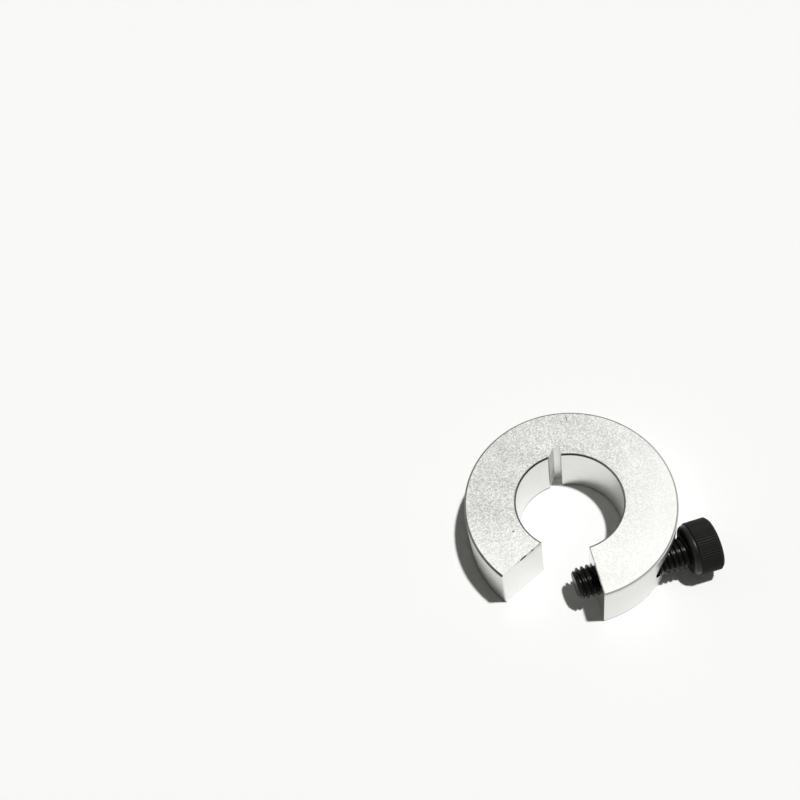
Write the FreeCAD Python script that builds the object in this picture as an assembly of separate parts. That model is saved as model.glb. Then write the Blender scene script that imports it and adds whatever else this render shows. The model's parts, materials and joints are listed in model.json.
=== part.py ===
"""Rail clamp: an open collar that one cap screw locks in place.

The collar is one turned ring of aluminium. A wedge gap opens it to one side, a relief slot in the bore
lets the arms give, and a cap screw in a tapped cross hole stands out into the gap, where its tip bears
on what the collar straddles. Millimetres, +Z along the bore, origin on the bore's axis at half
thickness, gap towards -Y, screw along X with its head towards +X.
"""
import FreeCAD, Part
import math
import os

# Ring: overall sizes and the fit of the bore
RAIL_DIAMETER = 20.0
BORE_CLEARANCE = 0.1
RING_DIAMETER = 40.0
RING_THICKNESS = 12.0
OUTER_CHAMFER = 0.25
BORE_CHAMFER = 0.2

# Gap: a wedge whose two faces lean away from -Y, measured at its apex inside the bore
GAP_APEX_X = 0.7
GAP_APEX_Y = -2.65
GAP_SCREW_SIDE_ANGLE = 4.5
GAP_FREE_SIDE_ANGLE = 65.0
GAP_EDGE_BREAK = 0.15

# Relief slot: a groove along the whole bore, with one wall on a radius, counted from +X, and one that slopes
SLOT_ANGLE = 79.0
SLOT_DEPTH = 1.9
SLOT_FLOOR_WIDTH = 1.3
SLOT_SLOPE = 31.0

# Cap screw: thread, head and socket
THREAD_DIAMETER = 6.0
THREAD_CLEARANCE = 0.05
SCREW_LENGTH = 21.5
TIP_CHAMFER = 0.7
HEAD_DIAMETER = 10.0
HEAD_HEIGHT = 5.45
HEAD_CHAMFER = 0.4
COLLAR_INSET = 0.25
COLLAR_HEIGHT = 1.0
COLLAR_ROUNDING = 0.9
UNDERHEAD_RADIUS = 0.25
SOCKET_ACROSS_FLATS = 5.0
SOCKET_DEPTH = 3.0
SOCKET_DRILL_INSET = 0.1
SOCKET_POINT_ANGLE = 118.0
SOCKET_POINT_FLAT = 0.4
SOCKET_LEAD_IN = 0.1

# Screw in the ring: wall left between bore and cross hole, and the air left between head and ring
BORE_TO_HOLE_WALL = 0.85
HEAD_CLEARANCE = 0.1

# Worked out from the sizes above
RING_RADIUS = RING_DIAMETER / 2
BORE_RADIUS = RAIL_DIAMETER / 2 + BORE_CLEARANCE
HALF_THICKNESS = RING_THICKNESS / 2
THREAD_RADIUS = THREAD_DIAMETER / 2
HOLE_RADIUS = THREAD_RADIUS + THREAD_CLEARANCE
SCREW_Y = -(BORE_RADIUS + BORE_TO_HOLE_WALL + HOLE_RADIUS)
HEAD_RADIUS = HEAD_DIAMETER / 2
COLLAR_RADIUS = HEAD_RADIUS - COLLAR_INSET
SEAT_RADIUS = COLLAR_RADIUS - COLLAR_ROUNDING
SEAT_FILLET = min(UNDERHEAD_RADIUS, (SEAT_RADIUS - THREAD_RADIUS) / 2)
ROUNDING_REACH = RING_RADIUS + HEAD_CLEARANCE + COLLAR_ROUNDING
HEAD_SEAT_X = math.sqrt(ROUNDING_REACH ** 2 - (SCREW_Y + SEAT_RADIUS) ** 2) - COLLAR_ROUNDING
HEAD_END_X = HEAD_SEAT_X + HEAD_HEIGHT
TIP_X = HEAD_SEAT_X - SCREW_LENGTH
BEYOND = 2 * RING_DIAMETER

X_AXIS = FreeCAD.Vector(1, 0, 0)
Z_AXIS = FreeCAD.Vector(0, 0, 1)


def vector(x, y, z=0.0):
    return FreeCAD.Vector(x, y, z)


def face_from(points):
    """Flat face inside a closed outline of straight runs."""
    return Part.Face(Part.makePolygon(points + points[:1]))


def plain_ring():
    """Square-edged ring, before anything is cut from it."""
    start = vector(0, 0, -HALF_THICKNESS)
    blank = Part.makeCylinder(RING_RADIUS, RING_THICKNESS, start)
    return blank.cut(Part.makeCylinder(BORE_RADIUS, RING_THICKNESS, start))


def rim_chamfers(radius, size, outward):
    """Turned cuts that chamfer one rim on both faces; outward is 1 for the outside, -1 for the bore."""
    cuts = []
    for side in (1, -1):
        on_face = vector(radius - 2 * size * outward, 0, side * (HALF_THICKNESS + size))
        in_air = vector(radius + size * outward, 0, side * (HALF_THICKNESS + size))
        on_wall = vector(radius + size * outward, 0, side * (HALF_THICKNESS - 2 * size))
        cuts.append(face_from([on_face, in_air, on_wall]).revolve(vector(0, 0), Z_AXIS, 360))
    return cuts


def gap_direction(angle):
    """Unit vector along a gap face, leaning from -Y towards -X."""
    lean = math.radians(angle)
    return vector(-math.sin(lean), -math.cos(lean))


def gap_wedge():
    """Wedge of air that opens the ring to one side."""
    apex = vector(GAP_APEX_X, GAP_APEX_Y, -RING_THICKNESS)
    screw_side = apex + gap_direction(GAP_SCREW_SIDE_ANGLE) * BEYOND
    free_side = apex + gap_direction(GAP_FREE_SIDE_ANGLE) * BEYOND
    return face_from([apex, screw_side, free_side]).extrude(Z_AXIS * 2 * RING_THICKNESS)


def is_gap_face(face):
    """True for the two flat faces that the gap left on the arms."""
    normal = face.normalAt(0, 0)
    return isinstance(face.Surface, Part.Plane) and abs(normal.z) < 0.5


def break_gap_edges(ring):
    """Small chamfer all round both gap faces."""
    edges = [edge for face in ring.Faces if is_gap_face(face) for edge in face.Edges]
    return ring.makeChamfer(GAP_EDGE_BREAK, edges)


def relief_slot():
    """Groove along the whole bore, opposite the gap, that narrows towards its floor."""
    floor_x = BORE_RADIUS + SLOT_DEPTH
    mouth_x = BORE_RADIUS / 2
    mouth_width = SLOT_FLOOR_WIDTH + (floor_x - mouth_x) * math.tan(math.radians(SLOT_SLOPE))
    corners = [(mouth_x, 0), (floor_x, 0), (floor_x, SLOT_FLOOR_WIDTH), (mouth_x, mouth_width)]
    outline = [vector(x, y, -RING_THICKNESS) for x, y in corners]
    groove = face_from(outline).extrude(Z_AXIS * 2 * RING_THICKNESS)
    groove.rotate(vector(0, 0), Z_AXIS, SLOT_ANGLE)
    return groove


def cross_hole():
    """Cross hole for the screw, from the gap out through the screw's arm."""
    start = vector(GAP_APEX_X - RING_RADIUS / 2, SCREW_Y)
    return Part.makeCylinder(HOLE_RADIUS, BEYOND, start, X_AXIS)


def make_clamp_ring():
    ring = break_gap_edges(plain_ring().cut(gap_wedge()))
    rims = rim_chamfers(RING_RADIUS, OUTER_CHAMFER, 1) + rim_chamfers(BORE_RADIUS, BORE_CHAMFER, -1)
    return ring.cut(rims).cut([relief_slot(), cross_hole()])


def screw_outline():
    """Wire of the screw's half section, from the tip's centre to the middle of the head's end."""
    tip_radius = THREAD_RADIUS - TIP_CHAMFER
    fillet_x = HEAD_SEAT_X - SEAT_FILLET
    neck_radius = THREAD_RADIUS + SEAT_FILLET
    knurl_x = HEAD_SEAT_X + COLLAR_HEIGHT

    def at(x, radius):
        return vector(x, SCREW_Y + radius)

    bend = SEAT_FILLET * (1 - math.sqrt(0.5))
    bulge = COLLAR_ROUNDING * (1 - math.sqrt(0.5))
    round_x = HEAD_SEAT_X + COLLAR_ROUNDING
    shank = Part.makePolygon([at(TIP_X, 0), at(TIP_X, tip_radius), at(TIP_X + TIP_CHAMFER, THREAD_RADIUS),
                              at(fillet_x, THREAD_RADIUS)])
    fillet = Part.Arc(at(fillet_x, THREAD_RADIUS), at(HEAD_SEAT_X - bend, THREAD_RADIUS + bend),
                      at(HEAD_SEAT_X, neck_radius)).toShape()
    seat = Part.makePolygon([at(HEAD_SEAT_X, neck_radius), at(HEAD_SEAT_X, SEAT_RADIUS)])
    shoulder = Part.Arc(at(HEAD_SEAT_X, SEAT_RADIUS), at(HEAD_SEAT_X + bulge, COLLAR_RADIUS - bulge),
                        at(round_x, COLLAR_RADIUS)).toShape()
    barrel = Part.makePolygon([at(round_x, COLLAR_RADIUS), at(knurl_x, COLLAR_RADIUS),
                               at(knurl_x + COLLAR_INSET, HEAD_RADIUS),
                               at(HEAD_END_X - HEAD_CHAMFER, HEAD_RADIUS),
                               at(HEAD_END_X, HEAD_RADIUS - HEAD_CHAMFER), at(HEAD_END_X, 0), at(TIP_X, 0)])
    return Part.Wire(shank.Edges + [fillet] + seat.Edges + [shoulder] + barrel.Edges)


def hex_socket():
    """Six-sided socket with a drilled point at its floor and a conical lead-in at its mouth."""
    corner_radius = SOCKET_ACROSS_FLATS / math.sqrt(3)
    floor_x = HEAD_END_X - SOCKET_DEPTH
    corners = []
    for index in range(6):
        turn = math.radians(60 * index)
        along_y = SCREW_Y + corner_radius * math.cos(turn)
        corners.append(vector(floor_x, along_y, corner_radius * math.sin(turn)))
    hexagon = face_from(corners).extrude(X_AXIS * SOCKET_DEPTH)
    drill_radius = SOCKET_ACROSS_FLATS / 2 - SOCKET_DRILL_INSET
    flat_radius = SOCKET_POINT_FLAT / 2
    point_length = (drill_radius - flat_radius) / math.tan(math.radians(SOCKET_POINT_ANGLE / 2))
    point = Part.makeCone(flat_radius, drill_radius, point_length,
                          vector(floor_x - point_length, SCREW_Y), X_AXIS)
    mouth_radius = corner_radius + SOCKET_LEAD_IN
    lead_length = mouth_radius - drill_radius
    lead_in = Part.makeCone(drill_radius, mouth_radius, lead_length,
                            vector(HEAD_END_X - lead_length, SCREW_Y), X_AXIS)
    return hexagon.fuse([point, lead_in])


def make_clamp_screw():
    body = Part.Face(screw_outline()).revolve(vector(0, SCREW_Y), X_AXIS, 360)
    return body.cut(hex_socket())


def save(name, shape):
    """Writes one piece and prints whether its solid is sound, its volume and its box."""
    solid = shape.Solids[0]
    box = solid.optimalBoundingBox()
    print(name, "solids", len(shape.Solids), "valid", solid.isValid(), "volume", round(solid.Volume, 2),
          "x", round(box.XMin, 3), round(box.XMax, 3), "y", round(box.YMin, 3), round(box.YMax, 3),
          "z", round(box.ZMin, 3), round(box.ZMax, 3))
    solid.exportStep(os.path.join("parts", name + ".step"))


def main():
    os.makedirs("parts", exist_ok=True)
    save("clamp_ring", make_clamp_ring())
    save("clamp_screw", make_clamp_screw())


main()
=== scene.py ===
# %% [markdown]
# # A rail clamp, dressed
#
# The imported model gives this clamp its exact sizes: an aluminium collar and the cap screw that locks it.
# This lesson remodels both pieces with the detail that a camera sees, such as a real helical thread, a
# knurled head and broken edges, gives them their finishes, and lights them on a pale table.
# Everything is modelled in millimetres, because Blender's tools merge and snap at about 0.1 mm when they
# work in metres. Each finished piece is scaled to metres once, at its end.

# %% The frame
import json
import math

import bmesh
import bpy
from mathutils import Matrix, Vector


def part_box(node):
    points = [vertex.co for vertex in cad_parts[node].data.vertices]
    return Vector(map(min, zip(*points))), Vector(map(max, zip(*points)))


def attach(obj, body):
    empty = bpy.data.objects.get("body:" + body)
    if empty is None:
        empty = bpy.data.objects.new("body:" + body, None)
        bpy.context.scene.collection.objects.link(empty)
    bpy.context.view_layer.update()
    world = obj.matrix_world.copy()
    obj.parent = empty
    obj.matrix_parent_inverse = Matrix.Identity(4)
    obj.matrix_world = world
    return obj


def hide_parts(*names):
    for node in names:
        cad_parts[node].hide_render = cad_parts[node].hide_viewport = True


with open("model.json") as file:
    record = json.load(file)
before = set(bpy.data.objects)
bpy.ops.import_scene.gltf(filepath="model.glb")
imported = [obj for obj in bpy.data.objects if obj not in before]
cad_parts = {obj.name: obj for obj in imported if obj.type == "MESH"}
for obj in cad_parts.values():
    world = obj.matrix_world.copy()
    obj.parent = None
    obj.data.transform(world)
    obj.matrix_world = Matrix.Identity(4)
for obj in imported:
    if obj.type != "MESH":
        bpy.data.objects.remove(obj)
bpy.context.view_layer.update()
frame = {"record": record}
METRES = 0.001
ring_low, ring_high = (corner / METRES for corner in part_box("clamp_ring"))
screw_low, screw_high = (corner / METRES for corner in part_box("clamp_screw"))
rail_bore = next(mount for mount in frame["record"]["mounts"] if mount["name"] == "rail_bore")
print("ring from", ring_low, "to", ring_high, "mm")
print("screw from", screw_low, "to", screw_high, "mm")

# %% [markdown]
# ## Sizes
#
# What the frame can tell is read from it: the ring's radius and height, the bore, and the screw's line and
# ends. The smaller sizes repeat the ones that the solids were made with, in millimetres.

# %% Sizes in millimetres
RING_RADIUS = (ring_high.x - ring_low.x) / 2
HALF_HEIGHT = (ring_high.z - ring_low.z) / 2
BORE_RADIUS = rail_bore["dims"]["r_mm"]
OUTER_CHAMFER = 0.25
BORE_CHAMFER = 0.2
GAP_APEX = Vector((0.7, -2.65, 0.0))
GAP_SCREW_SIDE = math.radians(4.5)
GAP_FREE_SIDE = math.radians(65.0)
GAP_EDGE_BREAK = 0.15
SLOT_ANGLE = math.radians(79.0)
SLOT_DEPTH = 1.9
SLOT_FLOOR_WIDTH = 1.3
SLOT_SLOPE = math.radians(31.0)

SCREW_Y = (screw_low.y + screw_high.y) / 2
TIP_X = screw_low.x
HEAD_END_X = screw_high.x
HEAD_RADIUS = (screw_high.y - screw_low.y) / 2
HEAD_HEIGHT = 5.45
SEAT_X = HEAD_END_X - HEAD_HEIGHT
HEAD_CHAMFER = 0.4
SHOULDER_INSET = 0.25
SHOULDER_HEIGHT = 1.0
SHOULDER_ROUNDING = 0.9
THREAD_RADIUS = 3.0
TIP_CHAMFER = 0.7
SOCKET_FLATS = 5.0
SOCKET_DEPTH = 3.0
FULL_TURN = 2 * math.pi
print("bore", BORE_RADIUS, "screw axis at y", round(SCREW_Y, 3), "seat at x", round(SEAT_X, 3))

# %% [markdown]
# ## Hand tools
#
# A few short helpers stand for what the hands do at the screen: choose one piece, pick faces by their place,
# draw an outline by extruding a point, spin it on a lathe, and measure what came out.


# %% Hand tools
def hold(piece):
    """Makes one piece the only selected one."""
    if bpy.context.object and bpy.context.object.mode != "OBJECT":
        bpy.ops.object.mode_set(mode="OBJECT")
    bpy.ops.object.select_all(action="DESELECT")
    piece.select_set(True)
    bpy.context.view_layer.objects.active = piece


def open_mesh(piece):
    hold(piece)
    bpy.ops.object.mode_set(mode="EDIT")


def close_mesh():
    bpy.ops.object.mode_set(mode="OBJECT")


def pick(kind, test):
    """Selects the VERT, EDGE or FACE elements of the open mesh that pass a test."""
    bpy.ops.mesh.select_mode(type=kind)
    bpy.ops.mesh.select_all(action="DESELECT")
    mesh = bpy.context.object.data
    grid = bmesh.from_edit_mesh(mesh)
    elements = {"VERT": grid.verts, "EDGE": grid.edges, "FACE": grid.faces}[kind]
    for element in elements:
        if test(element):
            element.select_set(True)
    grid.select_flush_mode()
    bmesh.update_edit_mesh(mesh)


# %% Drawing and turning
def added(name):
    """Names the primitive that was just added."""
    piece = bpy.context.object
    piece.name = name
    piece.data.name = name
    return piece


WELD = 0.0001


def weld():
    """Merges doubled points of the open mesh and turns its faces outwards."""
    bpy.ops.mesh.select_mode(type="VERT")
    bpy.ops.mesh.select_all(action="SELECT")
    bpy.ops.mesh.remove_doubles(threshold=WELD)
    bpy.ops.mesh.normals_make_consistent(inside=False)
    if bmesh.from_edit_mesh(bpy.context.object.data).calc_volume(signed=True) < 0:
        bpy.ops.mesh.flip_normals()


def draw(name, points):
    """Draws an outline by extruding one point along it, and leaves the mesh open."""
    bpy.ops.object.select_all(action="DESELECT")
    bpy.ops.mesh.primitive_plane_add(size=1.0)
    piece = added(name)
    bpy.ops.object.mode_set(mode="EDIT")
    bpy.ops.mesh.merge(type="CENTER")
    bpy.ops.transform.translate(value=points[0])
    for start, stop in zip(points, points[1:]):
        step = Vector(stop) - Vector(start)
        bpy.ops.mesh.extrude_vertices_move(TRANSFORM_OT_translate={"value": step})
    return piece


def lathe(name, points, axis, steps):
    """Spins an outline right round an axis through the origin into a closed body."""
    piece = draw(name, points)
    bpy.ops.mesh.select_all(action="SELECT")
    bpy.ops.mesh.spin(steps=steps, angle=FULL_TURN, center=(0, 0, 0), axis=axis)
    weld()
    close_mesh()
    return piece


# %% Measuring
def report(piece):
    """Prints a piece's size and whether its mesh is closed."""
    grid = bmesh.new()
    grid.from_mesh(piece.data)
    loose = sum(1 for edge in grid.edges if len(edge.link_faces) != 2)
    triangles = sum(len(face.verts) - 2 for face in grid.faces)
    volume = grid.calc_volume(signed=True)
    grid.free()
    size = [round(side, 4) for side in piece.dimensions]
    print(piece.name, "size", size, "triangles", triangles, "open edges", loose, "volume", f"{volume:.4g}")


# %% [markdown]
# ## The collar's blank
#
# The real collar starts as a ring turned on a lathe, with a small chamfer on each rim. Spinning its section
# does the same here. A cylinder primitive with a hole cut through it would also give a ring, but the spun
# section carries its four chamfers with it and leaves even strips of faces all the way round.

# %% The collar's blank
RING_STEPS = 240
face_high = HALF_HEIGHT
wall_high = HALF_HEIGHT - OUTER_CHAMFER
bore_high = HALF_HEIGHT - BORE_CHAMFER
upper_half = [
    (BORE_RADIUS, bore_high),
    (BORE_RADIUS + BORE_CHAMFER, face_high),
    (RING_RADIUS - OUTER_CHAMFER, face_high),
    (RING_RADIUS, wall_high),
]
lower_half = [(radius, -height) for radius, height in reversed(upper_half)]
section = [(radius, 0, height) for radius, height in upper_half + lower_half + upper_half[:1]]
collar = lathe("clamp_collar", section, (0, 0, 1), RING_STEPS)
report(collar)


# %% [markdown]
# ## The gap
#
# A wedge is sawn out of the ring, which opens it to one side. Its two faces lean differently. A Boolean cut
# would open it too, but its edges would still have to be found again for the bevel. Here two bisect cuts mark
# the faces, the strips between them are deleted, and each open end is filled and gets a finely broken edge,
# as a deburring tool leaves it.


# %% The gap
def lean(angle):
    """Direction of a gap face, from the wedge's apex outwards."""
    return Vector((-math.sin(angle), -math.cos(angle), 0.0))


def side_of(angle, point):
    """Distance of a point from a gap face's plane, positive towards -X."""
    along = lean(angle)
    across = Vector((along.y, -along.x, 0.0))
    return across.dot(point - GAP_APEX)


def in_reach(point):
    """True on the half of the ring where the gap is cut."""
    return lean((GAP_SCREW_SIDE + GAP_FREE_SIDE) / 2).dot(point) > 0


def in_gap(point):
    return in_reach(point) and side_of(GAP_SCREW_SIDE, point) > 0 > side_of(GAP_FREE_SIDE, point)


def saw(angle):
    along = lean(angle)
    pick("FACE", lambda face: in_reach(face.calc_center_median()))
    bpy.ops.mesh.bisect(plane_co=GAP_APEX, plane_no=(along.y, -along.x, 0), threshold=WELD)


def middle(edge):
    return (edge.verts[0].co + edge.verts[1].co) / 2


def cap(angle):
    """Fills one sawn end and breaks its edges."""
    near = 10 * WELD
    pick("EDGE", lambda edge: edge.is_boundary and abs(side_of(angle, middle(edge))) < near)
    bpy.ops.mesh.edge_face_add()
    bpy.ops.mesh.bevel(offset=GAP_EDGE_BREAK, segments=1, affect="EDGES")


open_mesh(collar)
saw(GAP_SCREW_SIDE)
saw(GAP_FREE_SIDE)
pick("FACE", lambda face: in_gap(face.calc_center_median()))
bpy.ops.mesh.delete(type="FACE")
cap(GAP_SCREW_SIDE)
cap(GAP_FREE_SIDE)
weld()
close_mesh()
report(collar)

# %% [markdown]
# ## The relief slot
#
# A narrow slot along the bore, opposite the gap, makes the back of the ring thinner so that the arms give a
# little. One of its walls lies on a radius and the other slopes. Insetting and extruding the bore's strips
# would only follow their own edges, so a cutter is drawn as an outline with four corners, filled, extruded
# into a prism and taken away from the ring with a Boolean.


# %% Filling and cutting
def prism(name, corners, along):
    """Fills a closed outline and extrudes it into a solid."""
    piece = draw(name, corners)
    bpy.ops.mesh.select_all(action="SELECT")
    bpy.ops.mesh.edge_face_add()
    bpy.ops.mesh.extrude_region_move(TRANSFORM_OT_translate={"value": along})
    weld()
    close_mesh()
    return piece


def settle(piece):
    """Applies a piece's own place, turn and scale to its mesh."""
    hold(piece)
    bpy.ops.object.transform_apply(location=True, rotation=True, scale=True)


def carve(piece, tool, operation="DIFFERENCE"):
    """Cuts, joins or intersects a piece with a tool, which is used up."""
    hold(piece)
    cutter = piece.modifiers.new("carve", "BOOLEAN")
    cutter.operation = operation
    cutter.solver = "MANIFOLD"
    cutter.object = tool
    bpy.ops.object.modifier_apply(modifier=cutter.name)
    bpy.data.objects.remove(tool)


# %% The relief slot
slot_floor = BORE_RADIUS + SLOT_DEPTH
slot_mouth = BORE_RADIUS / 2
mouth_width = SLOT_FLOOR_WIDTH + (slot_floor - slot_mouth) * math.tan(SLOT_SLOPE)
slot_reach = 2 * HALF_HEIGHT
slot_tool = prism("slot_tool", [
    (slot_mouth, 0, -slot_reach),
    (slot_floor, 0, -slot_reach),
    (slot_floor, SLOT_FLOOR_WIDTH, -slot_reach),
    (slot_mouth, mouth_width, -slot_reach),
], (0, 0, 2 * slot_reach))
slot_tool.rotation_euler.z = SLOT_ANGLE
settle(slot_tool)
carve(collar, slot_tool)
report(collar)

# %% [markdown]
# ## A screw thread
#
# The thread is a coarse one: a tooth with 60 degree flanks that climbs 1 mm for each turn. A stack of plain
# grooves would pass from afar, but it wouldn't climb. So one pitch of the tooth is drawn as an outline, the
# Screw modifier winds it into a helix, and two bisect cuts with fill close the ends flat. The same function
# makes the screw and, a little larger, the tap that cuts the ring's hole, so the two threads fit each other
# turn for turn. Where the hole breaks out through the curved outside, the thread would end in ragged slivers,
# so its mouth is bored plain there.

# %% A screw thread
PITCH = 1.0
SPARE_TURNS = 2
CREST_WIDTH = PITCH / 8
ROOT_WIDTH = PITCH / 4
FLANK_WIDTH = (PITCH - CREST_WIDTH - ROOT_WIDTH) / 2
THREAD_DEPTH = FLANK_WIDTH * math.tan(math.radians(60.0))
THREAD_STEPS = 64
TAP_CLEARANCE = 0.05


def threaded_rod(name, crest_radius, crest_width, start, stop):
    """Closed threaded rod along X between two ends, with crests at whole millimetres from x = 0."""
    root_radius = crest_radius - THREAD_DEPTH
    crest = crest_width / 2
    tooth = [
        (-PITCH / 2, root_radius),
        (-crest - FLANK_WIDTH, root_radius),
        (-crest, crest_radius),
        (crest, crest_radius),
        (crest + FLANK_WIDTH, root_radius),
        (PITCH / 2, root_radius),
    ]
    first = math.floor(start) - SPARE_TURNS
    turns = math.ceil(stop) + SPARE_TURNS - first
    rod = draw(name, [(first + x, radius, 0) for x, radius in tooth])
    close_mesh()
    winding = rod.modifiers.new("winding", "SCREW")
    winding.axis = "X"
    winding.screw_offset = PITCH
    winding.iterations = turns
    winding.steps = THREAD_STEPS
    winding.render_steps = THREAD_STEPS
    winding.use_smooth_shade = False
    hold(rod)
    bpy.ops.object.modifier_apply(modifier=winding.name)
    open_mesh(rod)
    weld()
    for place, normal in ((start, -1), (stop, 1)):
        bpy.ops.mesh.select_all(action="SELECT")
        bpy.ops.mesh.bisect(plane_co=(place, 0, 0), plane_no=(normal, 0, 0), use_fill=True,
                            clear_outer=True, threshold=WELD)
    weld()
    close_mesh()
    return rod


# %% The tapped hole
HOLE_RADIUS = THREAD_RADIUS + TAP_CLEARANCE
tap_start = -RING_RADIUS / 2
tap_stop = RING_RADIUS * 1.5
tap = threaded_rod("tap", HOLE_RADIUS, CREST_WIDTH + TAP_CLEARANCE, tap_start, tap_stop)
report(tap)
tap.location.y = SCREW_Y
settle(tap)
carve(collar, tap)
report(collar)

# %% The hole's mouth
MOUTH_X = 9.6
MOUTH_SIDES = 96
ALONG_X = (0, math.pi / 2, 0)
mouth_reach = RING_RADIUS - MOUTH_X
mouth_middle = (MOUTH_X + mouth_reach / 2, SCREW_Y, 0)
bpy.ops.object.select_all(action="DESELECT")
bpy.ops.mesh.primitive_cylinder_add(vertices=MOUTH_SIDES, radius=HOLE_RADIUS, depth=mouth_reach,
                                    rotation=ALONG_X, location=mouth_middle)
mouth = added("mouth")
settle(mouth)
carve(collar, mouth)
report(collar)

# %% [markdown]
# ## Marks of use
#
# The collar has been handled: a hairline nick and a pit on its upper face, and small dents along the edges
# of its free arm. Colour or bump alone would leave the edges straight, so a squashed sphere, sunk to its
# middle, leaves each of them, as a knock would.


# %% Marks of use
def dent(piece, place, size, turn):
    """Sinks a squashed sphere of the given half sizes into a piece."""
    bpy.ops.object.select_all(action="DESELECT")
    bpy.ops.mesh.primitive_ico_sphere_add(subdivisions=3, radius=1.0)
    knock = added("knock")
    knock.scale = size
    settle(knock)
    knock.rotation_euler.z = turn
    knock.location = place
    settle(knock)
    carve(piece, knock)


# %% Where the marks are
def on_face(across, along, size, turn):
    """Place, half sizes and turn of a mark on the upper face."""
    return Vector((across, along, HALF_HEIGHT)), size, turn


def on_rim(angle, size):
    """The same for a dent in the upper outer rim."""
    turn = math.radians(angle)
    return Vector((RING_RADIUS * math.cos(turn), RING_RADIUS * math.sin(turn), HALF_HEIGHT)), size, turn


def on_free_edge(distance, size):
    """The same for a dent in the free arm's upper edge, at a distance from the gap's apex."""
    place = GAP_APEX + lean(GAP_FREE_SIDE) * distance + Vector((0, 0, HALF_HEIGHT))
    return place, size, math.pi / 2 - GAP_FREE_SIDE


nick = on_face(5.75, 17.6, (0.85, 0.06, 0.06), math.radians(82.0))
pit = on_face(-12.0, -2.75, (0.18, 0.13, 0.1), 0.3)
dents = [
    nick,
    pit,
    on_free_edge(13.9, (0.8, 0.22, 0.2)),
    on_free_edge(11.6, (0.35, 0.16, 0.15)),
    on_rim(-149.5, (0.32, 0.9, 0.32)),
    on_rim(-156.0, (0.22, 2.4, 0.22)),
    on_rim(-163.5, (0.28, 0.4, 0.28)),
]
for place, size, turn in dents:
    dent(collar, place, size, turn)
report(collar)

# %% [markdown]
# ## The cap screw
#
# The shank is a length of the threaded rod whose tip is turned to a cone. The head is spun from its outline:
# a flat seat, a rounded shoulder, a barrel and a chamfered end. Bump could draw the straight knurl, but not
# its toothed outline, so a prism with a grooved edge, kept where it overlaps the head, presses it into the
# barrel. A hexagon and a drill with a pointed end and a conical mouth sink the socket.

# %% The shank
HEAD_STEPS = 192
SEAT_OVERLAP = 0.3
shank = threaded_rod("clamp_cap_screw", THREAD_RADIUS, CREST_WIDTH, TIP_X, SEAT_X + SEAT_OVERLAP)
tip_blank = lathe("tip_blank", [
    (TIP_X - PITCH, 0, 0),
    (TIP_X - PITCH, THREAD_RADIUS - TIP_CHAMFER - PITCH, 0),
    (TIP_X + TIP_CHAMFER + PITCH, THREAD_RADIUS + PITCH, 0),
    (HEAD_END_X, THREAD_RADIUS + PITCH, 0),
    (HEAD_END_X, 0, 0),
], (1, 0, 0), HEAD_STEPS)
carve(shank, tip_blank, "INTERSECT")
report(shank)

# %% The head
shoulder_radius = HEAD_RADIUS - SHOULDER_INSET
knurl_x = SEAT_X + SHOULDER_HEIGHT
UNDERHEAD_CONE = 0.25
ROUNDING_STEPS = 10


def round_shoulder(step):
    """One point of the quarter circle that joins the seat to the shoulder."""
    turn = math.pi / 2 * step / ROUNDING_STEPS
    along = SEAT_X + SHOULDER_ROUNDING * (1 - math.cos(turn))
    return (along, shoulder_radius - SHOULDER_ROUNDING * (1 - math.sin(turn)), 0)


head = lathe("head", [
    (SEAT_X - UNDERHEAD_CONE, 0, 0),
    (SEAT_X - UNDERHEAD_CONE, THREAD_RADIUS - UNDERHEAD_CONE, 0),
    (SEAT_X, THREAD_RADIUS + UNDERHEAD_CONE, 0),
    *(round_shoulder(step) for step in range(ROUNDING_STEPS + 1)),
    (knurl_x, shoulder_radius, 0),
    (knurl_x + SHOULDER_INSET, HEAD_RADIUS, 0),
    (HEAD_END_X - HEAD_CHAMFER, HEAD_RADIUS, 0),
    (HEAD_END_X, HEAD_RADIUS - HEAD_CHAMFER, 0),
    (HEAD_END_X, 0, 0),
], (1, 0, 0), HEAD_STEPS)

# %% The knurl
KNURL_TEETH = 64
KNURL_POINTS = 4
KNURL_DEPTH = 0.07
KNURL_MARGIN = 1.0
knurl_count = KNURL_TEETH * KNURL_POINTS
bpy.ops.object.select_all(action="DESELECT")
bpy.ops.mesh.primitive_circle_add(vertices=knurl_count, radius=HEAD_RADIUS, fill_type="NGON",
                                  rotation=ALONG_X, location=(SEAT_X - KNURL_MARGIN, 0, 0))
knurl = added("knurl")
settle(knurl)
open_mesh(knurl)
pick("VERT", lambda vert: vert.index % KNURL_POINTS == 0)
groove = (HEAD_RADIUS - KNURL_DEPTH) / HEAD_RADIUS
bpy.ops.transform.resize(value=(1, groove, groove), center_override=(SEAT_X, 0, 0))
bpy.ops.mesh.select_all(action="SELECT")
bpy.ops.mesh.extrude_region_move(TRANSFORM_OT_translate={"value": (HEAD_HEIGHT + 2 * KNURL_MARGIN, 0, 0)})
weld()
close_mesh()
report(knurl)
carve(head, knurl, "INTERSECT")
report(head)

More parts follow.
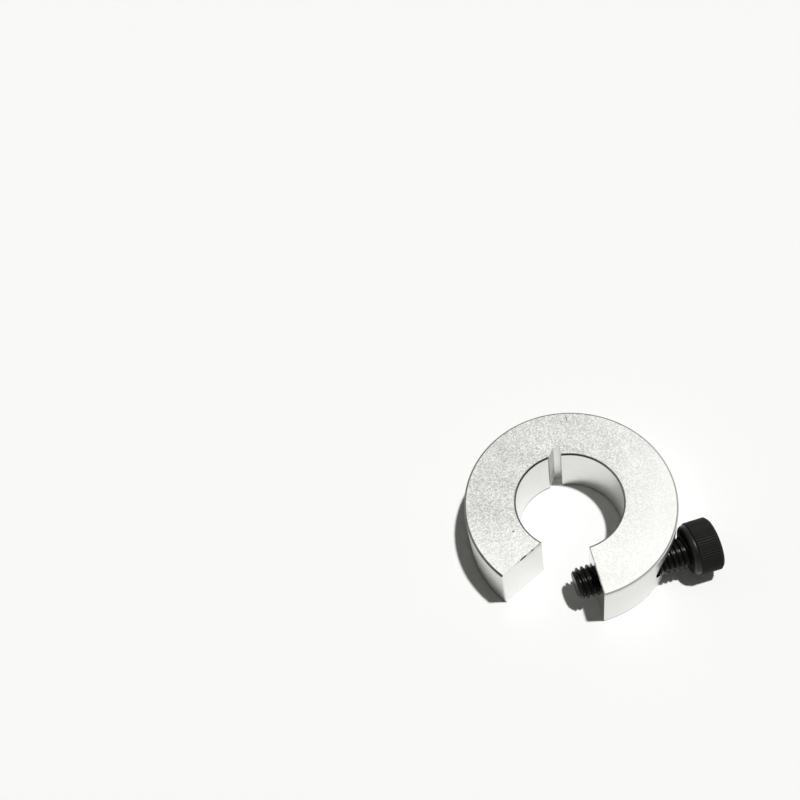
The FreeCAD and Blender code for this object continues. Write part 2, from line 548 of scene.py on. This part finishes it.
# %% The socket
SOCKET_LEAD_IN = 0.1
DRILL_INSET = 0.1
DRILL_POINT = math.radians(118.0)
DRILL_MARGIN = 1.0
SOCKET_SIDES = 6
corner_radius = SOCKET_FLATS / math.sqrt(3)
drill_radius = SOCKET_FLATS / 2 - DRILL_INSET
socket_floor = HEAD_END_X - SOCKET_DEPTH
bpy.ops.object.select_all(action="DESELECT")
bpy.ops.mesh.primitive_cylinder_add(vertices=SOCKET_SIDES, radius=corner_radius, depth=2 * SOCKET_DEPTH,
                                    rotation=ALONG_X, location=(HEAD_END_X, 0, 0))
hexagon = added("hexagon")
settle(hexagon)
hexagon.rotation_euler.x = math.pi / SOCKET_SIDES
settle(hexagon)
mouth_radius = corner_radius + SOCKET_LEAD_IN
drill = lathe("drill", [
    (socket_floor - drill_radius / math.tan(DRILL_POINT / 2), 0, 0),
    (socket_floor, drill_radius, 0),
    (HEAD_END_X - mouth_radius + drill_radius, drill_radius, 0),
    (HEAD_END_X + DRILL_MARGIN, mouth_radius + DRILL_MARGIN, 0),
    (HEAD_END_X + DRILL_MARGIN, 0, 0),
], (1, 0, 0), HEAD_STEPS)
carve(head, hexagon)
carve(head, drill)
report(head)
carve(shank, head, "UNION")
shank.location.y = SCREW_Y
settle(shank)
report(shank)

# %% [markdown]
# ## Into metres
#
# Both pieces are done, so they are scaled to metres and shaded smooth up to the angle where an edge is meant.
# The place, turn and scale all go into the mesh, so that a pattern on Object coordinates stays put.

# %% Into metres
EDGE_ANGLE = math.radians(28.0)


def finish_mesh(piece):
    piece.scale = (METRES, METRES, METRES)
    settle(piece)
    bpy.ops.object.shade_smooth_by_angle(angle=EDGE_ANGLE)
    report(piece)


finish_mesh(collar)
finish_mesh(shank)


# %% [markdown]
# ## Shader maths
#
# A finish is a sum of small effects, and wiring each sum by hand is hard to read. The first class wraps a
# socket so that ordinary operators add Math nodes, the second adds any other node to a tree, and the third
# is one material with its Principled shader.


# %% A wrapped socket
class Value:
    """A number, colour or vector that varies over a surface: operators on a number add Math nodes."""

    def __init__(self, wiring, socket):
        self.wiring = wiring
        self.socket = socket

    def math(self, operation, *others):
        inputs = dict(enumerate((self, *others)))
        return self.wiring.node("ShaderNodeMath", {"operation": operation}, inputs)

    def __add__(self, other):
        return self.math("ADD", other)

    __radd__ = __add__

    def __mul__(self, other):
        return self.math("MULTIPLY", other)

    __rmul__ = __mul__

    def __sub__(self, other):
        return self.math("SUBTRACT", other)

    def __rsub__(self, other):
        return self * -1 + other

    def __abs__(self):
        return self.math("ABSOLUTE")

    def above(self, level, softness):
        """0 below a level, 1 above it, with a soft step."""
        inputs = {"Value": self, "From Min": level - softness, "From Max": level + softness}
        return self.wiring.node("ShaderNodeMapRange", {"interpolation_type": "SMOOTHSTEP"}, inputs)

    def below(self, level, softness):
        return 1 - self.above(level, softness)

    def either(self, other):
        return self.math("MAXIMUM", other)


# %% Adding nodes
class Wiring:
    """Adds nodes to a node tree."""

    def __init__(self, tree):
        self.tree = tree

    def node(self, kind, settings=None, inputs=None, output=0):
        """Adds a node, sets its options, then sets or links its sockets, and gives one output."""
        node = self.tree.nodes.new(kind)
        for name, setting in (settings or {}).items():
            setattr(node, name, setting)
        for name, value in (inputs or {}).items():
            self.feed(node.inputs[name], value)
        return Value(self, node.outputs[output])

    def feed(self, socket, value):
        if isinstance(value, Value):
            self.tree.links.new(value.socket, socket)
        else:
            socket.default_value = value

    def split(self, vector, axes="XYZ"):
        """Takes a vector apart into the named axes."""
        return [self.node("ShaderNodeSeparateXYZ", None, {0: vector}, axis) for axis in axes]

    def blend(self, amount, first, second):
        """Colour that goes from the first to the second as the amount goes from 0 to 1."""
        return self.node("ShaderNodeMix", {"data_type": "RGBA"}, {0: amount, 6: first, 7: second}, output=2)


# %% A finish
class Finish(Wiring):
    """A node material with one Principled shader."""

    def __init__(self, name):
        self.material = bpy.data.materials.new(name)
        self.material.use_nodes = True
        super().__init__(self.material.node_tree)
        self.shader = self.tree.nodes["Principled BSDF"]

    def surface(self, **inputs):
        """Sets or links sockets of the Principled shader, with _ for a space in a name."""
        for name, value in inputs.items():
            self.feed(self.shader.inputs[name.replace("_", " ")], value)

    def place(self, stretch=(1, 1, 1)):
        """Where a point lies on the piece, in millimetres, stretched along the axes."""
        spot = self.node("ShaderNodeTexCoord", output="Object")
        scale = [side / METRES for side in stretch]
        return self.node("ShaderNodeVectorMath", {"operation": "MULTIPLY"}, {0: spot, 1: scale})

    def noise(self, vector, scale, detail=2.0, roughness=0.5):
        inputs = {"Vector": vector, "Scale": scale, "Detail": detail, "Roughness": roughness}
        return self.node("ShaderNodeTexNoise", None, inputs)

    def bump(self, height, strength, distance):
        inputs = {"Height": height, "Strength": strength, "Distance": distance * METRES}
        return self.node("ShaderNodeBump", None, inputs)

    def coat(self, piece):
        """Puts this finish on a piece in place of any other."""
        piece.data.materials.clear()
        piece.data.materials.append(self.material)
        print(piece.name, "has", self.material.name, "with", len(self.tree.nodes), "nodes")


# %% [markdown]
# ## Blasted aluminium
#
# The collar is clear anodised aluminium. Its two flat faces are blasted, which leaves a speckle of light and
# dark grains about a quarter of a millimetre across. Towards the screw's arm and towards the gap, the faces
# are painted paler with fainter speckle: a painted sheen. The bore, the gap and the outside keep the smoother
# face that the cutter left, with faint lines along its path. The slot's walls are painted lighter, as painted
# light in that recess. The broken edges are cut metal too, a little duller. A dark painted reflection runs
# along the rims and along the gap's edges near the bore. It is darker on the far side and never quite even.
# A painted highlight runs along the free arm's gap edge further out, and the dents' hollows get painted
# shade.
# Separate materials could be given to the faces, but one material with masks by height, radius and plane
# keeps its borders as sharp or as soft as they are on the metal, and noise on Object coordinates has no
# seams.

# %% Blasted aluminium
aluminium = Finish("blasted_aluminium")
spot = aluminium.place()
x, y, z = aluminium.split(spot)
radius = (x * x + y * y).math("SQRT")
height = abs(z)


def towards(direction):
    """How far a point lies from the bore's axis in one direction, in millimetres."""
    return x * direction[0] + y * direction[1]


# %% The blasted faces
GRAIN_DARK = (0.425, 0.428, 0.405, 1)
GRAIN_LIGHT = (0.785, 0.788, 0.764, 1)
SCREW_SIDE = (0.8, -0.6)
GAP_SIDE = (-0.3, -0.95)
FACE_DEPTH = 0.02
grain = aluminium.noise(spot, 4.2, 2.0, 0.6)
dust = aluminium.noise(spot, 8.5, 2.0, 0.6)
patches = aluminium.noise(spot, 0.25, 2.0, 0.5)
cells = aluminium.node("ShaderNodeTexVoronoi", None, {"Vector": spot, "Scale": 4.6}, output="Color")
facets = aluminium.split(cells, "X")[0]
blasted = height.above(HALF_HEIGHT - FACE_DEPTH, 0.015)
# Painted sheen: towards the screw's arm and towards the gap, the faces are painted paler and their speckle
# fainter.
painted_sheen = towards(SCREW_SIDE).above(9.0, 13.0)
painted_front_sheen = towards(GAP_SIDE).above(6.0, 5.0) * (1 - painted_sheen)
speckle = (grain - 0.5) * 1.35 + (dust - 0.5) * 0.75 + (facets - 0.5) * 0.85 + (patches - 0.5) * 0.5
speckle = speckle * (1 - 0.8 * painted_sheen - 0.3 * painted_front_sheen) + 0.53 + 0.36 * painted_sheen + 0.3 * painted_front_sheen
face_colour = aluminium.blend(speckle, GRAIN_DARK, GRAIN_LIGHT)

# %% The cut walls
CUT_DARK = (0.7, 0.7, 0.688, 1)
CUT_LIGHT = (0.8, 0.8, 0.787, 1)
ALONG_CUT = (0.12, 0.12, 5.0)
streaks = aluminium.noise(aluminium.place(ALONG_CUT), 1.6, 3.0, 0.6)
wall_colour = aluminium.blend(streaks, CUT_DARK, CUT_LIGHT)

# %% The slot's walls
SLOT_PAINTED_LIGHT = (0.9, 0.9, 0.885, 1)
into_slot = towards((math.cos(SLOT_ANGLE), math.sin(SLOT_ANGLE)))
across_slot = towards((-math.sin(SLOT_ANGLE), math.cos(SLOT_ANGLE)))
in_slot = into_slot.above(BORE_RADIUS + 0.1, 0.1) * into_slot.below(slot_floor + 0.1, 0.05)
in_slot = in_slot * across_slot.above(-0.1, 0.05) * across_slot.below(SLOT_FLOOR_WIDTH + 1.3, 0.1)
in_slot = in_slot * (1 - blasted)
slope_line = SLOT_FLOOR_WIDTH + (slot_floor - into_slot) * math.tan(SLOT_SLOPE)
sloping = in_slot * (across_slot - slope_line).above(-0.04, 0.02)
# Painted light: the slot's walls are painted lighter than the other cut walls, to brighten that shaded
# recess.
wall_colour = aluminium.blend(in_slot, wall_colour, SLOT_PAINTED_LIGHT)


# %% The gap's faces
SAWN_COLOUR = (0.79, 0.79, 0.777, 1)


def gap_plane(angle):
    """Distance from one gap face's plane, and a mask of the half of the ring where that face is."""
    along = lean(angle)
    off_plane = abs((x - GAP_APEX.x) * along.y - (y - GAP_APEX.y) * along.x)
    return off_plane, towards(along).above(0.0, 0.1)


free_plane, by_free_arm = gap_plane(GAP_FREE_SIDE)
screw_plane, by_screw_arm = gap_plane(GAP_SCREW_SIDE)
free_face = free_plane.below(FACE_DEPTH, 0.01) * by_free_arm
screw_face = screw_plane.below(FACE_DEPTH, 0.01) * by_screw_arm
sawn = free_face.either(screw_face)
wall_colour = aluminium.blend(sawn, wall_colour, SAWN_COLOUR)
plain_colour = aluminium.blend(blasted, wall_colour, face_colour)

# %% The broken edges
PAINTED_EDGE_REFLECTION = (0.12, 0.121, 0.115, 1)
PAINTED_EDGE_HIGHLIGHT = (0.93, 0.93, 0.91, 1)
EDGE_SOFT = 0.03
EDGE_SPREAD = 0.13
BACK_SIDE = (-0.65, 0.75)
edge_level = HALF_HEIGHT - EDGE_SPREAD
outer_edge = (radius + height).above(edge_level + RING_RADIUS - OUTER_CHAMFER, EDGE_SOFT)
inner_half = radius.below(RING_RADIUS - OUTER_CHAMFER / 2, 0.05)
away = towards(BACK_SIDE).above(-4.0, 8.0)
bore_edge = (height - radius).above(edge_level - BORE_RADIUS - BORE_CHAMFER, EDGE_SOFT)
gap_level = HALF_HEIGHT - GAP_EDGE_BREAK - EDGE_SOFT
free_edge = by_free_arm * (height - free_plane).above(gap_level, EDGE_SOFT)
screw_edge = by_screw_arm * (height - screw_plane).above(gap_level, EDGE_SOFT)
patchy = aluminium.noise(spot, 0.7, 3.0, 0.6).above(0.5, 0.2)
# Painted reflection: the rims, and the gap's edges near the bore, are painted dark and patchy, darker and
# wider on the far side.
outer_line = outer_edge * inner_half.either(away) * (0.65 + 0.35 * away)
round_edges = outer_line.either(bore_edge) * (0.9 + 0.08 * patchy)
by_bore = radius.below(15.5, 2.5)
gap_edges = (free_edge * by_bore).either(screw_edge) * patchy * 0.7
matt = (outer_edge * (1 - away)).either(free_edge).either(screw_edge)
# Painted highlight: the free arm's gap edge away from the bore is painted bright.
edge_colour = aluminium.blend(free_edge * (1 - by_bore), plain_colour, PAINTED_EDGE_HIGHLIGHT)
edge_colour = aluminium.blend(round_edges.either(gap_edges), edge_colour, PAINTED_EDGE_REFLECTION)

# %% The painted shade in the dents
DENT_SHADE_COLOUR = (0.1, 0.1, 0.092, 1)


def dent_hollow(place, size, turn):
    """Mask of the hollow of one dent."""
    settings = {"vector_type": "TEXTURE"}
    inputs = {"Vector": spot, "Location": place, "Rotation": (0, 0, turn), "Scale": size}
    inside = aluminium.node("ShaderNodeMapping", settings, inputs)
    reach = aluminium.node("ShaderNodeVectorMath", {"operation": "LENGTH"}, {0: inside}, output="Value")
    return reach.below(1.15, 0.12)


marks = dent_hollow(*dents[0])
for mark in dents[1:]:
    marks = marks.either(dent_hollow(*mark))
# Painted shade: the hollows of the dents are painted dark.
colour = aluminium.blend(marks, edge_colour, DENT_SHADE_COLOUR)

# %% The aluminium's surface
RELIEF_STRENGTH = 0.35
RELIEF_DEPTH = 0.03
relief = blasted * (grain + dust * 0.5 + facets * 0.3) + (1 - blasted) * streaks * 0.25
roughness = 0.3 + streaks * 0.08 + blasted * (0.32 + grain * 0.08)
roughness = roughness + (matt * 0.2).either(marks * 0.3).either(in_slot * 0.15) - sawn * 0.17
metallic = 1.0 - (0.15 * blasted).either(matt * 0.85).either(marks * 0.8).either(sloping * 0.85)
aluminium.surface(Base_Color=colour, Metallic=metallic, Roughness=roughness,
                  Normal=aluminium.bump(relief, RELIEF_STRENGTH, RELIEF_DEPTH))
aluminium.coat(collar)

# %% [markdown]
# ## Black oxide
#
# The screw is steel with a black oxide skin: almost black, a little oily and slightly brown. Handling rubs it
# grey where it stands proud, on the crests of the thread and the knurl and the rim of the head. The shoulder
# is painted lighter all round, partly as wear and partly as a painted highlight.
# A pointiness mask could find such places, but it depends on how fine the mesh is. The distance from the
# screw's axis finds them exactly.

# %% Black oxide
OXIDE_BLACK = (0.004, 0.004, 0.0035, 1)
OXIDE_BROWN = (0.011, 0.0106, 0.009, 1)
WEAR_AND_HIGHLIGHT_GREY = (0.045, 0.045, 0.042, 1)
RUB_ALONG = (0.5, 2.0, 2.0)
oxide = Finish("oiled_black_oxide")
spot = oxide.place()
x, y, z = oxide.split(spot)
from_axis = y - SCREW_Y
reach = (from_axis * from_axis + z * z).math("SQRT")
cloud = oxide.noise(spot, 0.7, 3.0, 0.6)
scuffs = oxide.noise(oxide.place(RUB_ALONG), 2.2, 3.0, 0.7).above(0.56, 0.12)

# %% Where the oxide is rubbed, and the shoulder's painted highlight
on_head = x.above(SEAT_X, 0.05)
crest = (1 - on_head) * reach.above(THREAD_RADIUS - 0.06, 0.05)
knurl_crest = on_head * reach.above(HEAD_RADIUS - 0.05, 0.04)
end_rim = (reach + x).above(HEAD_RADIUS + HEAD_END_X - HEAD_CHAMFER - 0.04, 0.04)
on_barrel = x.above(knurl_x, 0.1)
on_shoulder = on_head * (1 - on_barrel) * reach.above(shoulder_radius - SHOULDER_ROUNDING / 2, 0.3)
wear_and_highlight = scuffs * (crest.either(knurl_crest) * 0.15).either(end_rim * 0.25)
# The shoulder is painted lighter all round: partly wear, partly a painted highlight.
wear_and_highlight = wear_and_highlight.either(on_shoulder * (0.1 + 0.3 * scuffs))

# %% The oxide's surface
skin = oxide.blend(cloud, OXIDE_BLACK, OXIDE_BROWN)
oxide_colour = oxide.blend(wear_and_highlight, skin, WEAR_AND_HIGHLIGHT_GREY)
oxide_roughness = 0.24 + 0.12 * cloud + (0.25 * on_barrel).either(0.08 * on_shoulder)
oxide.surface(Base_Color=oxide_colour, Metallic=0.0, Roughness=oxide_roughness, Specular_IOR_Level=0.11,
              Coat_Weight=0.25 * on_shoulder, Coat_Roughness=0.4,
              Normal=oxide.bump(cloud + scuffs * 0.2, 0.15, 0.02))
oxide.coat(shank)

# %% [markdown]
# ## Table, light and camera
#
# One small bright lamp stands almost overhead, a little to the right, and gives the crisp shadows. The pale
# table lights the walls from below. The surround is white far away and darker overhead and behind the camera,
# as in a small photo tent with an open front. The dark lines along the broken edges are a painted reflection
# in the aluminium's colour. The surround is white only where it is seen, or mirrored in what is seen. As a
# light it stays dim, because a white world that also lit the table would wash the shadows out.

# %% The table
TABLE_SIZE = 3.0
TABLE_COLOUR = (0.95, 0.95, 0.94, 1)
bpy.ops.object.select_all(action="DESELECT")
bpy.ops.mesh.primitive_plane_add(size=TABLE_SIZE, location=(0, 0, ring_low.z * METRES))
table = added("table")
settle(table)
pale_table = Finish("pale_table")
pale_table.surface(Base_Color=TABLE_COLOUR, Roughness=0.9, Specular_IOR_Level=0.0)
pale_table.coat(table)

# %% The lamp
TO_LAMP = Vector((0.255, -0.07, 0.964))
LAMP_STRENGTH = 2.95
LAMP_ANGLE = math.radians(2.8)
lamp = bpy.data.lights.new("lamp", "SUN")
lamp.energy = LAMP_STRENGTH
lamp.angle = LAMP_ANGLE
lamp_object = bpy.data.objects.new("lamp", lamp)
lamp_object.rotation_euler = TO_LAMP.to_track_quat("Z", "Y").to_euler()
bpy.context.scene.collection.objects.link(lamp_object)
off_overhead = math.degrees(TO_LAMP.angle(Vector((0, 0, 1))))
print("lamp", round(off_overhead, 1), "degrees off overhead, strength", LAMP_STRENGTH)

# %% The surround
SHADE_LEVEL = 0.09
SHADE_COLOUR = (1.0, 0.99, 0.9, 1)
WHITE = (1, 1, 1, 1)
OVERHEAD_DIM = 0.6
FRONT_DIM = 0.9
world = bpy.data.worlds.new("surround")
bpy.context.scene.world = world
world.use_nodes = True
surround = Wiring(world.node_tree)
background = world.node_tree.nodes["Background"]
depth, rise = surround.split(surround.node("ShaderNodeTexCoord", output="Generated"), "YZ")
overhead = rise.above(0.5, 0.5)
in_front = (depth * -1).above(0.15, 0.35)
tent = (1 - OVERHEAD_DIM * overhead) * (1 - FRONT_DIM * in_front)


def ray(name):
    return surround.node("ShaderNodeLightPath", output=name)


seen = ray("Is Camera Ray")
mirrored = (ray("Is Glossy Ray") + ray("Is Transmission Ray")) * ray("Diffuse Depth").below(0.5, 0.1)
level = seen + mirrored * tent + (1 - seen - mirrored) * SHADE_LEVEL
surround.feed(background.inputs["Color"], surround.blend(seen + mirrored, SHADE_COLOUR, WHITE))
surround.feed(background.inputs["Strength"], level)
print("surround has", len(surround.tree.nodes), "nodes")

# %% The camera
CAMERA_AT = Vector((-27.47, -84.13, 170.64))
CAMERA_AIM = Vector((-24.64, 42.44, -6.0))
CAMERA_ROLL = math.radians(-15.93)
FOCAL_PIXELS = 968.5
PICTURE_PIXELS = 800
SENSOR = 36.0
NEAREST = 0.01
lens = bpy.data.cameras.new("camera")
lens.sensor_width = SENSOR
lens.lens = FOCAL_PIXELS * SENSOR / PICTURE_PIXELS
lens.clip_start = NEAREST
camera = bpy.data.objects.new("camera", lens)
look = (CAMERA_AIM - CAMERA_AT).to_track_quat("-Z", "Y").to_matrix().to_4x4()
camera.matrix_world = Matrix.Translation(CAMERA_AT * METRES) @ look @ Matrix.Rotation(CAMERA_ROLL, 4, "Z")
bpy.context.scene.collection.objects.link(camera)
bpy.context.scene.camera = camera
bpy.context.scene.view_settings.view_transform = "Standard"
print("camera", round((CAMERA_AIM - CAMERA_AT).length), "mm from its aim, lens", round(lens.lens, 1), "mm")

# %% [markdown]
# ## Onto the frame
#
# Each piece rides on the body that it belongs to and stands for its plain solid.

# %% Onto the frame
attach(collar, "collar")
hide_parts("clamp_ring")
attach(shank, "screw")
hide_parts("clamp_screw")
